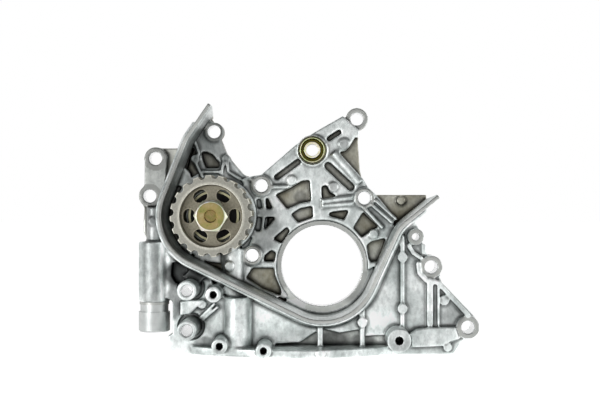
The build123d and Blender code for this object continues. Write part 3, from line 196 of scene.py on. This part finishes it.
class Shader:
    """A node material: makes nodes, links them and names its sockets in plain calls."""

    def __init__(self, name):
        self.material = bpy.data.materials.new(name)
        self.material.use_nodes = True
        self.tree = self.material.node_tree
        self.tree.nodes.clear()
        self.output = self.add("ShaderNodeOutputMaterial")
        self.surface = self.add("ShaderNodeBsdfPrincipled")
        self.join(self.surface, "BSDF", self.output, "Surface")
        self.place = self.add("ShaderNodeTexCoord")

    def add(self, kind, **settings):
        node = self.tree.nodes.new(kind)
        for key, value in settings.items():
            setattr(node, key, value)
        return node

    def join(self, source, output, target, socket):
        self.tree.links.new(source.outputs[output], target.inputs[socket])

    def set(self, **values):
        names = {"metal": "Metallic", "coat": "Coat Weight", "coat_rough": "Coat Roughness",
                 "specular": "Specular IOR Level"}
        for key, value in values.items():
            self.surface.inputs[names[key]].default_value = value

    def noise(self, scale, detail=3.0, roughness=0.55, stretch=None):
        """Noise fixed to the object; scale counts features in a metre."""
        node = self.add("ShaderNodeTexNoise")
        node.inputs["Scale"].default_value = scale
        node.inputs["Detail"].default_value = detail
        node.inputs["Roughness"].default_value = roughness
        if stretch:
            mapping = self.add("ShaderNodeMapping")
            mapping.inputs["Scale"].default_value = stretch
            self.join(self.place, "Object", mapping, "Vector")
            self.join(mapping, "Vector", node, "Vector")
        else:
            self.join(self.place, "Object", node, "Vector")
        return node

    def tones(self, source, output, stops):
        """Colour or grey ramp on one output; stops are (place, value) pairs."""
        node = self.add("ShaderNodeValToRGB")
        elements = node.color_ramp.elements
        while len(elements) < len(stops):
            elements.new(0.5)
        for element, (position, value) in zip(elements, stops):
            element.position = position
            element.color = (value, value, value, 1) if isinstance(value, float) else (*value, 1)
        self.join(source, output, node, "Fac")
        return node

    def colour(self, noise, stops):
        """Base colour as a ramp on a noise."""
        self.join(self.tones(noise, "Fac", stops), "Color", self.surface, "Base Color")

    def rough(self, noise, low, high):
        """Roughness that a noise takes from one value to another."""
        self.join(self.tones(noise, "Fac", [(0.3, low), (0.7, high)]), "Color", self.surface, "Roughness")

    def remap(self, source, output, low, high):
        """0 at one value and 1 at another, and kept between them."""
        node = self.add("ShaderNodeMapRange")
        node.inputs["From Min"].default_value = low
        node.inputs["From Max"].default_value = high
        self.join(source, output, node, "Value")
        return node

    def blend(self, kind, factor, first, second, target=None, socket=None):
        """Colour mix; the factor is a number and each colour a plain one, or each a (node, output) pair.

        A mix that goes to a target is kept at or under white.
        """
        node = self.add("ShaderNodeMix", data_type="RGBA", blend_type=kind)
        for place, value in ((MIX_FACTOR, factor), (MIX_FIRST, first), (MIX_SECOND, second)):
            if isinstance(value, tuple) and isinstance(value[1], str):
                source, output = value
                mixed = source.bl_idname == "ShaderNodeMix"
                self.tree.links.new(source.outputs[MIX_RESULT if mixed else output], node.inputs[place])
            elif place == MIX_FACTOR:
                node.inputs[place].default_value = value
            else:
                node.inputs[place].default_value = (*value, 1)
        if target:
            node.clamp_result = True
            self.tree.links.new(node.outputs[MIX_RESULT], target.inputs[socket])
        return node

    def attribute(self, name):
        """Number kept on the mesh's points."""
        return self.add("ShaderNodeAttribute", attribute_name=name)

    def shade_corners_light_edges(self, tone, low, high, dark, light):
        """Multiplies a (node, output) tone by the mesh's pointiness: painted shade in corners, painted
        highlights on edges.
        """
        shape = self.add("ShaderNodeNewGeometry")
        edge = self.remap(shape, "Pointiness", low, high)
        shade = self.blend("MIX", (edge, "Result"), dark, light)
        self.blend("MULTIPLY", 1.0, (tone, "Result"), (shade, "Result"), self.surface, "Base Color")

    def depth(self, near, far):
        """1 at the near depth forward of the gasket face, 0 at the far one."""
        parts = self.add("ShaderNodeSeparateXYZ")
        self.join(self.place, "Object", parts, "Vector")
        return self.remap(parts, "Y", -far, -near)

    def rings(self, centre, reach, stops):
        """Colour ramp on the distance from an axis along Y; its stops are shares of a reach in metres."""
        axis = self.add("ShaderNodeCombineXYZ")
        axis.inputs["X"].default_value = centre[0]
        axis.inputs["Z"].default_value = centre[2]
        parts = self.add("ShaderNodeSeparateXYZ")
        flat = self.add("ShaderNodeCombineXYZ")
        self.join(self.place, "Object", parts, "Vector")
        self.join(parts, "X", flat, "X")
        self.join(parts, "Z", flat, "Z")
        away = self.add("ShaderNodeVectorMath", operation="DISTANCE")
        self.join(flat, "Vector", away, 0)
        self.join(axis, "Vector", away, 1)
        share = self.remap(away, "Value", 0.0, reach)
        return self.tones(share, "Result", stops)

    def bump(self, heights):
        """Stacked bumps; each height is (node, output, strength, distance)."""
        last = None
        for source, output, strength, distance in heights:
            node = self.add("ShaderNodeBump")
            node.inputs["Strength"].default_value = strength
            node.inputs["Distance"].default_value = distance
            self.join(source, output, node, "Height")
            if last:
                self.join(last, "Normal", node, "Normal")
            last = node
        self.join(last, "Normal", self.surface, "Normal")


def cast_aluminium():
    """Shot-blasted die casting: mottled satin grey, with painted highlights on its edges and crests, painted
    shade in its creases, hollows and floors, and patches of painted shade and light.
    """
    shader = Shader("cast_aluminium")
    shader.set(metal=0.88, specular=0.5)
    mottle = shader.noise(55, detail=5.0, roughness=0.6)
    skin_tone = shader.tones(mottle, "Fac", [
        (0.36, (0.47, 0.51, 0.50)), (0.50, (0.67, 0.71, 0.70)), (0.64, (0.88, 0.91, 0.90)),
    ])
    smear = shader.noise(330, detail=4.0, roughness=0.7, stretch=(1.0, 1.0, 0.6))
    grain = shader.tones(smear, "Fac", [(0.36, 0.82), (0.50, 1.0), (0.64, 1.14)])
    # Painted shade: the floors that lie back from the front are painted darker and olive, mottled by this
    # noise.
    painted_shade_and_light = shader.noise(38, detail=4.0, roughness=0.6)
    floor_shade_tone = shader.tones(painted_shade_and_light, "Fac", [
        (0.36, (0.24, 0.225, 0.17)), (0.50, (0.38, 0.37, 0.31)), (0.66, (0.56, 0.56, 0.51)),
    ])
    low = (shader.depth(*FLOOR_SHADE_DEPTHS), "Result")
    toned = shader.blend("MIX", low, (skin_tone, "Color"), (floor_shade_tone, "Color"))
    grained = shader.blend("MULTIPLY", 1.0, (toned, "Result"), (grain, "Color"))
    # Painted shade and painted light: patches that darken or lighten the case where shade and highlights
    # fall.
    shaded_and_lit = shader.blend("MULTIPLY", 1.0, (grained, "Result"), (shader.attribute("painted_shade_and_light"), "Color"))
    # Painted shade in wide hollows and painted highlights on crests.
    hollow_shade_and_crest_highlight = shader.tones(shader.attribute("hollow_shade_and_crest_highlight"), "Fac", [
        (0.0, 1.15), (0.42, 1.04), (0.5, 1.0), (0.60, 0.70), (1.0, 0.25),
    ])
    shaped = shader.blend("MULTIPLY", 1.0, (shaded_and_lit, "Result"), (hollow_shade_and_crest_highlight, "Color"))
    # Painted shade in narrow creases and painted highlights on edges.
    crease_shade_and_edge_highlight = shader.tones(shader.attribute("crease_shade_and_edge_highlight"), "Fac", [
        (0.0, 1.4), (0.40, 1.07), (0.5, 1.0), (0.58, 0.65), (1.0, 0.15),
    ])
    shader.blend("MULTIPLY", 1.0, (shaped, "Result"), (crease_shade_and_edge_highlight, "Color"), shader.surface, "Base Color")
    cloud = shader.noise(26, detail=4.0)
    shader.rough(cloud, 0.36, 0.50)
    skin = shader.noise(900, detail=2.0)
    flow = shader.noise(120, detail=3.0)
    shader.bump([(flow, "Fac", 0.25, 0.6 * MM), (skin, "Fac", 0.18, 0.12 * MM)])
    return shader.material


def reamed_bore():
    """Inside of a reamed hole: bright and smooth."""
    shader = Shader("reamed_bore")
    shader.set(metal=0.9)
    rings = shader.noise(70, detail=2.0, stretch=(1.0, 30.0, 1.0))
    shader.colour(rings, [(0.3, (0.72, 0.73, 0.73)), (0.7, (0.84, 0.85, 0.85))])
    shader.rough(rings, 0.18, 0.28)
    return shader.material


def threaded_bore_painted_shade():
    """Inside of a tapped blind hole: near black, painted shade in the hole."""
    shader = Shader("threaded_bore_painted_shade")
    shader.set(metal=0.5)
    turns = shader.noise(60, detail=2.0, stretch=(1.0, 20.0, 1.0))
    shader.colour(turns, [(0.3, (0.010, 0.011, 0.010)), (0.7, (0.035, 0.036, 0.034))])
    shader.rough(turns, 0.45, 0.60)
    return shader.material


def machined_aluminium(name, shaded_and_lit):
    """Milled face: even grey with fine tool marks; on the case it takes the patches of painted shade and
    light.
    """
    shader = Shader(name)
    shader.set(metal=0.85)
    grain = shader.noise(80, detail=3.0)
    tone = shader.tones(grain, "Fac", [(0.35, (0.40, 0.412, 0.395)), (0.65, (0.49, 0.50, 0.48))])
    # On the case, the patches of painted shade and light darken or lighten the machined faces too.
    if shaded_and_lit:
        painted_shade_and_light = (shader.attribute("painted_shade_and_light"), "Color")
        shader.blend("MULTIPLY", 1.0, (tone, "Color"), painted_shade_and_light, shader.surface, "Base Color")
    else:
        shader.join(tone, "Color", shader.surface, "Base Color")
    marks = shader.noise(60, detail=2.0, stretch=(1.0, 1.0, 60.0))
    shader.rough(marks, 0.34, 0.46)
    shader.bump([(marks, "Fac", 0.08, 0.05 * MM)])
    return shader.material


def sintered_steel():
    """Pressed powder metal: matt warm grey with small dark pores; its recessed web is painted darker and
    browner as shade, its rim's chamfer and tooth tips carry painted highlights, its corners painted shade and
    its edges painted highlights.
    """
    shader = Shader("sintered_steel")
    shader.set(metal=0.7)
    pores = shader.noise(650, detail=4.0, roughness=0.7)
    rim_tone = shader.tones(pores, "Fac", [
        (0.30, (0.26, 0.25, 0.225)), (0.46, (0.35, 0.345, 0.31)), (0.7, (0.42, 0.415, 0.38)),
    ])
    # Painted shade: the web, lying back behind the rim, is painted darker and browner.
    web_shade_tone = shader.tones(pores, "Fac", [
        (0.30, (0.19, 0.175, 0.135)), (0.46, (0.28, 0.26, 0.205)), (0.7, (0.34, 0.32, 0.26)),
    ])
    low = (shader.depth(*WEB_SHADE_DEPTHS), "Result")
    toned = shader.blend("MIX", low, (rim_tone, "Color"), (web_shade_tone, "Color"))
    # Painted highlights: bright rings on the rim's chamfer and on the tooth tips.
    ring = shader.rings(PUMP_AXIS, PULLEY_RING_REACH, PULLEY_HIGHLIGHT_RINGS)
    ringed = shader.blend("MULTIPLY", 1.0, (toned, "Result"), (ring, "Color"))
    # Painted shade in corners and painted highlights on edges, from pointiness.
    shader.shade_corners_light_edges(ringed, 0.47, 0.53, (0.40, 0.39, 0.36), (1.7, 1.7, 1.66))
    cloud = shader.noise(45, detail=3.0)
    shader.rough(cloud, 0.42, 0.56)
    shader.bump([(pores, "Fac", 0.2, 0.15 * MM)])
    return shader.material


def yellow_zinc(name, centre, stops, groove_shade_depths):
    """Yellow passivated zinc: gold with green and rosy bloom, toned in rings round its axis; painted shade in
    its corners and, where groove depths are given, near black in its groove, and painted highlights on its
    edges.
    """
    shader = Shader(name)
    shader.set(metal=0.92)
    bloom = shader.noise(210, detail=4.0, roughness=0.65)
    gold = shader.tones(bloom, "Fac", [
        (0.30, (0.27, 0.29, 0.07)), (0.43, (0.42, 0.37, 0.12)), (0.55, (0.50, 0.37, 0.15)),
        (0.72, (0.56, 0.50, 0.24)),
    ])
    ring = shader.rings(centre, ZINC_RING_REACH, stops)
    ringed = shader.blend("MULTIPLY", 1.0, (gold, "Color"), (ring, "Color"))
    # Painted shade: the collar's groove is painted near black olive.
    if groove_shade_depths:
        low = (shader.depth(*groove_shade_depths), "Result")
        ringed = shader.blend("MIX", low, (ringed, "Result"), (0.13, 0.11, 0.015))
    # Painted shade in corners and painted highlights on edges, from pointiness.
    shader.shade_corners_light_edges(ringed, 0.46, 0.56, (0.45, 0.42, 0.35), (1.5, 1.6, 2.2))
    cloud = shader.noise(140, detail=3.0)
    shader.rough(cloud, 0.24, 0.40)
    skin = shader.noise(700, detail=2.0)
    shader.bump([(skin, "Fac", 0.12, 0.1 * MM)])
    return shader.material


def olive_zinc():
    """Olive plated seal case."""
    shader = Shader("olive_zinc")
    shader.set(metal=0.9)
    bloom = shader.noise(120, detail=3.0)
    shader.colour(bloom, [(0.3, (0.52, 0.50, 0.30)), (0.7, (0.72, 0.69, 0.46))])
    shader.rough(bloom, 0.28, 0.42)
    return shader.material


def ground_steel():
    """Ground steel with fine lines and a light oil film."""
    shader = Shader("ground_steel")
    shader.set(metal=1.0, coat=0.15, coat_rough=0.2)
    lines = shader.noise(50, detail=2.0, stretch=(1.0, 1.0, 80.0))
    shader.colour(lines, [(0.3, (0.44, 0.45, 0.46)), (0.7, (0.58, 0.59, 0.60))])
    shader.rough(lines, 0.22, 0.36)
    shader.bump([(lines, "Fac", 0.06, 0.04 * MM)])
    return shader.material


def plated_plug():
    """Dull bright zinc on the relief valve's plug."""
    shader = Shader("plated_plug")
    shader.set(metal=0.9)
    tone = shader.noise(70, detail=4.0)
    shader.colour(tone, [(0.35, (0.42, 0.44, 0.435)), (0.65, (0.60, 0.62, 0.61))])
    shader.rough(tone, 0.30, 0.44)
    skin = shader.noise(800, detail=2.0)
    shader.bump([(skin, "Fac", 0.12, 0.08 * MM)])
    return shader.material


def sintered_bronze():
    """Porous bearing bronze."""
    shader = Shader("sintered_bronze")
    shader.set(metal=0.9)
    pores = shader.noise(800, detail=3.0)
    shader.colour(pores, [(0.3, (0.35, 0.24, 0.12)), (0.6, (0.60, 0.44, 0.22))])
    shader.rough(pores, 0.50, 0.35)
    return shader.material


def seal_rubber():
    """Matt black rubber with a faint bloom."""
    shader = Shader("seal_rubber")
    shader.set(metal=0.0, specular=0.4)
    bloom = shader.noise(160, detail=4.0)
    shader.colour(bloom, [(0.3, (0.012, 0.012, 0.012)), (0.7, (0.035, 0.034, 0.032))])
    shader.rough(bloom, 0.50, 0.68)
    shader.bump([(bloom, "Fac", 0.15, 0.1 * MM)])
    return shader.material


finishes = {
    "cast_aluminium": cast_aluminium(),
    "sintered_steel": sintered_steel(),
    # The bolt's rings paint a highlight on the head's edge.
    "yellow_zinc": yellow_zinc("bolt_zinc", PUMP_AXIS, BOLT_HIGHLIGHT_RINGS, None),
    "olive_zinc": olive_zinc(),
    "ground_steel": ground_steel(),
    "bronze": sintered_bronze(),
    "seal_rubber": seal_rubber(),
    "plated_plug": plated_plug(),
    "washer_aluminium": machined_aluminium("washer_aluminium", False),
}


def softened(node, voxel, smoothing):
    """Copy of a CAD node with its edges rounded as a casting's are; it stands for the node."""
    source = frame["nodes"][node]
    draft = bpy.data.objects.new(f"{node}_draft", source.data.copy())
    bpy.context.scene.collection.objects.link(draft)
    remesh = draft.modifiers.new("skin", "REMESH")
    remesh.mode = "VOXEL"
    remesh.voxel_size = voxel
    relax = draft.modifiers.new("relax", "SMOOTH")
    relax.factor = 0.5
    relax.iterations = smoothing
    evaluated = draft.evaluated_get(bpy.context.evaluated_depsgraph_get())
    mesh = bpy.data.meshes.new_from_object(evaluated)
    bpy.data.objects.remove(draft)
    mesh.materials.clear()
    mesh.shade_smooth()
    piece = bpy.data.objects.new(f"{node}_soft", mesh)
    bpy.context.scene.collection.objects.link(piece)
    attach(piece, body_of_node[node])
    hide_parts(node)
    return piece


def points(mesh):
    """A mesh's points and their normals as two arrays."""
    places = np.empty(len(mesh.vertices) * 3)
    normals = np.empty(len(mesh.vertices) * 3)
    mesh.vertices.foreach_get("co", places)
    mesh.vertices.foreach_get("normal", normals)
    return places.reshape(-1, 3), normals.reshape(-1, 3)


def keep_number(mesh, name, values):
    """Keeps one number on each point of a mesh, for its material."""
    mesh.attributes.new(name, "FLOAT", "POINT").data.foreach_set("value", values.astype(np.float32))


def mark_hollows(piece, name, rounds, reach):
    """Keeps how deep each point lies in a dip, as 0 on a crest, 0.5 on a flat and 1 in a dip; the case's
    colour takes painted shade in dips and painted highlights on crests from it.
    """
    draft = bpy.data.objects.new("draft", piece.data)
    bpy.context.scene.collection.objects.link(draft)
    relax = draft.modifiers.new("relax", "SMOOTH")
    relax.factor = 0.5
    relax.iterations = rounds
    evaluated = draft.evaluated_get(bpy.context.evaluated_depsgraph_get())
    relaxed = bpy.data.meshes.new_from_object(evaluated)
    own, normals = points(piece.data)
    depths = ((points(relaxed)[0] - own) * normals).sum(axis=1) / MM
    keep_number(piece.data, name, np.clip(0.5 + 0.5 * depths / reach, 0, 1))
    bpy.data.objects.remove(draft)
    bpy.data.meshes.remove(relaxed)


def mark_painted_patches(piece):
    """Keeps the painted shade and light of each point of the case, from the rows of patches near the top."""
    places = points(piece.data)[0] / MM
    tones = np.ones(len(places))
    for x, z, reach_x, reach_z, back, front, tone in PAINTED_SHADE_AND_LIGHT_PATCHES:
        away = np.hypot((places[:, 0] - x) / reach_x, (places[:, 2] - z) / reach_z)
        inside = np.clip((1 - away) / PAINTED_PATCH_EDGE, 0, 1)
        inside *= np.clip(front + places[:, 1], 0, 1) * np.clip(1 - places[:, 1] - back, 0, 1)
        tones *= 1 - (1 - tone) * inside
    keep_number(piece.data, "painted_shade_and_light", tones)


def face_centres(mesh):
    """Centres and normals of a mesh's faces as two arrays."""
    centres = np.empty(len(mesh.polygons) * 3)
    normals = np.empty(len(mesh.polygons) * 3)
    mesh.polygons.foreach_get("center", centres)
    mesh.polygons.foreach_get("normal", normals)
    return centres.reshape(-1, 3), normals.reshape(-1, 3)


def case_faces(mesh):
    """Finish of each face of the case: 1 machined, 2 in reamed holes, 3 in threaded ones, else 0."""
    centres, normals = face_centres(mesh)
    x, y, z = centres.T
    forward = normals[:, 1] < -FACING
    picked = (normals[:, 1] > FACING) & (y > -FACE_TOLERANCE)
    foot = mounts["pan_face"]["pos_m"][2]
    picked |= (normals[:, 2] < -FACING) & (z < foot + FACE_TOLERANCE)
    picked |= forward & (y < FACE_TOLERANCE - WALL_DEPTH)
    inner, outer, depth = CRANK_RING
    radius = np.hypot(x, z)
    picked |= forward & (radius < outer) & (np.abs(y + depth) < FACE_TOLERANCE)
    bores = radius < inner + FACE_TOLERANCE
    threads = np.zeros(len(x), dtype=bool)
    for name, mount in mounts.items():
        if mount["kind"] in ("bore", "threaded_hole") and abs(mount["axis"][1]) == 1:
            hole = mount["dims"]["r_mm"] * MM
            centre = mount["pos_m"]
            reach = np.hypot(x - centre[0], z - centre[2])
            if mount["kind"] == "threaded_hole":
                threads |= reach < hole + BORE_TOLERANCE
                continue
            bores |= reach < hole + BORE_TOLERANCE
            if "post" not in name:
                face = -centre[1] + mount["dims"]["length_mm"] * MM / 2
                picked |= forward & (reach < hole + BOLT_FACE_WIDTH) & (np.abs(y + face) < FACE_TOLERANCE)
    return np.select([threads, bores, picked], [3, 2, 1], 0).astype(np.int32)


# The case, in four finishes
case = softened("timing_case", CASE_VOXEL, CASE_SMOOTHING)
case.data.materials.append(finishes["cast_aluminium"])
case.data.materials.append(machined_aluminium("machined_aluminium", True))
case.data.materials.append(reamed_bore())
# Painted shade: threaded holes are painted near black.
case.data.materials.append(threaded_bore_painted_shade())
case.data.polygons.foreach_set("material_index", case_faces(case.data))
# Painted shade and light of the case: darker in creases and hollows, lighter on edges and crests, and patches
# of shade and highlight.
mark_hollows(case, "crease_shade_and_edge_highlight", CREASE_ROUNDS, CREASE_REACH)
mark_hollows(case, "hollow_shade_and_crest_highlight", HOLLOW_ROUNDS, HOLLOW_REACH)
mark_painted_patches(case)

# The other pieces with rounded edges
# The collar's zinc is painted with shade in its groove and highlights on its edges.
collar_zinc = yellow_zinc("collar_zinc", COLLAR_AXIS, COLLAR_RINGS, GROOVE_SHADE_DEPTHS)
for node, voxel in (("pump_pulley", PULLEY_VOXEL), ("pulley_bolt", BOLT_VOXEL), ("idler_collar", BOLT_VOXEL)):
    piece = softened(node, voxel, SMALL_SMOOTHING)
    slot = slot_of_node[node]
    piece.data.materials.append(collar_zinc if node == "idler_collar" else finishes[slot])


def add_relief_spring():
    """Copy of the relief spring; it stands for the node."""
    mesh = frame["nodes"]["relief_spring"].data.copy()
    mesh.materials.clear()
    mesh.materials.append(finishes["ground_steel"])
    mesh.shade_smooth()
    spring = bpy.data.objects.new("relief_spring_coil", mesh)
    bpy.context.scene.collection.objects.link(spring)
    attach(spring, body_of_node["relief_spring"])
    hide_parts("relief_spring")
    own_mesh(spring)


add_relief_spring()

# The solids that show as they are
for node, slot in slot_of_node.items():
    solid = frame["nodes"][node]
    solid.data.materials.clear()
    solid.data.materials.append(finishes[slot])


def add_stage():
    """Pale floor under the pan face; its camera side is white and it keeps the object's shadow."""
    mesh = bpy.data.meshes.new("floor")
    low = cad_box[0][2] - FLOOR_GAP
    far = FLOOR_REACH
    corners = [(-far, -far, low), (far, -far, low), (far, far, low), (-far, far, low)]
    mesh.from_pydata(corners, [], [(0, 1, 2, 3)])
    floor = bpy.data.objects.new("floor", mesh)
    bpy.context.scene.collection.objects.link(floor)
    material = bpy.data.materials.new("floor")
    material.use_nodes = True
    tree = material.node_tree
    surface = tree.nodes["Principled BSDF"]
    surface.inputs["Base Color"].default_value = (0.86, 0.86, 0.86, 1)
    surface.inputs["Roughness"].default_value = 0.9
    surface.inputs["Emission Color"].default_value = (1, 1, 1, 1)
    rays = tree.nodes.new("ShaderNodeLightPath")
    seen = tree.nodes.new("ShaderNodeMath")
    seen.operation = "MAXIMUM"
    tree.links.new(rays.outputs["Is Camera Ray"], seen.inputs[0])
    tree.links.new(rays.outputs["Is Glossy Ray"], seen.inputs[1])
    strength = tree.nodes.new("ShaderNodeMath")
    strength.operation = "MULTIPLY"
    strength.inputs[1].default_value = FLOOR_GLOW
    tree.links.new(seen.outputs[0], strength.inputs[0])
    tree.links.new(strength.outputs[0], surface.inputs["Emission Strength"])
    mesh.materials.append(material)


def add_world():
    """White background; light that is bright low in front and dark overhead for the rest."""
    world = bpy.data.worlds.new("studio")
    bpy.context.scene.world = world
    world.use_nodes = True
    tree = world.node_tree
    tree.nodes.clear()
    output = tree.nodes.new("ShaderNodeOutputWorld")
    mix = tree.nodes.new("ShaderNodeMixShader")
    white = tree.nodes.new("ShaderNodeBackground")
    white.inputs["Color"].default_value = (1, 1, 1, 1)
    studio = tree.nodes.new("ShaderNodeBackground")
    rays = tree.nodes.new("ShaderNodeLightPath")
    seen = tree.nodes.new("ShaderNodeMath")
    seen.operation = "MAXIMUM"
    place = tree.nodes.new("ShaderNodeTexCoord")
    split = tree.nodes.new("ShaderNodeSeparateXYZ")
    height = tree.nodes.new("ShaderNodeMath")
    height.operation = "MULTIPLY_ADD"
    height.inputs[1].default_value = 0.5
    height.inputs[2].default_value = 0.5
    ramp = tree.nodes.new("ShaderNodeValToRGB")
    elements = ramp.color_ramp.elements
    while len(elements) < len(SKY):
        elements.new(0.5)
    for element, (position, grey) in zip(elements, SKY):
        element.position = position
        element.color = (grey, grey, grey, 1)
    tree.links.new(place.outputs["Generated"], split.inputs["Vector"])
    tree.links.new(split.outputs["Z"], height.inputs[0])
    tree.links.new(height.outputs[0], ramp.inputs["Fac"])
    tree.links.new(ramp.outputs["Color"], studio.inputs["Color"])
    behind = tree.nodes.new("ShaderNodeMapRange")
    behind.inputs["From Min"].default_value = BACK_EDGE[0]
    behind.inputs["From Max"].default_value = BACK_EDGE[1]
    glossy = tree.nodes.new("ShaderNodeMath")
    glossy.operation = "MULTIPLY"
    either = tree.nodes.new("ShaderNodeMath")
    either.operation = "MAXIMUM"
    tree.links.new(split.outputs["Y"], behind.inputs["Value"])
    tree.links.new(behind.outputs["Result"], glossy.inputs[0])
    tree.links.new(rays.outputs["Is Glossy Ray"], glossy.inputs[1])
    tree.links.new(rays.outputs["Is Camera Ray"], seen.inputs[0])
    tree.links.new(rays.outputs["Is Transmission Ray"], seen.inputs[1])
    tree.links.new(seen.outputs[0], either.inputs[0])
    tree.links.new(glossy.outputs[0], either.inputs[1])
    tree.links.new(either.outputs[0], mix.inputs["Fac"])
    tree.links.new(studio.outputs["Background"], mix.inputs[1])
    tree.links.new(white.outputs["Background"], mix.inputs[2])
    tree.links.new(mix.outputs["Shader"], output.inputs["Surface"])


def add_lamp(name, place, target, size, power):
    """Square soft light that points at a place."""
    data = bpy.data.lights.new(name, "AREA")
    data.shape = "SQUARE"
    data.size = size
    data.energy = power
    lamp = bpy.data.objects.new(name, data)
    bpy.context.scene.collection.objects.link(lamp)
    lamp.location = place
    lamp.rotation_euler = (Vector(target) - Vector(place)).to_track_quat("-Z", "Y").to_euler()


def add_camera():
    """Camera on the photograph's own axis."""
    data = bpy.data.cameras.new("camera")
    data.sensor_width = SENSOR_WIDTH
    data.lens = FOCAL_PIXELS * SENSOR_WIDTH / IMAGE_SIZE[0]
    data.shift_x = (IMAGE_SIZE[0] / 2 - AXIS_PIXEL[0]) / IMAGE_SIZE[0]
    data.shift_y = (AXIS_PIXEL[1] - IMAGE_SIZE[1] / 2) / IMAGE_SIZE[0]
    camera = bpy.data.objects.new("camera", data)
    camera.location = CAMERA_PLACE
    camera.rotation_euler = (radians(90), 0, 0)
    bpy.context.scene.collection.objects.link(camera)
    bpy.context.scene.camera = camera


add_stage()
add_world()
add_lamp("low", (-0.55, -0.65, -0.02), (0, 0, 0.0), 0.35, 2.6)
add_lamp("side", (0.75, -0.45, 0.10), (0, 0, 0.03), 0.4, 1.2)
add_camera()
bpy.context.scene.view_settings.view_transform = "Standard"
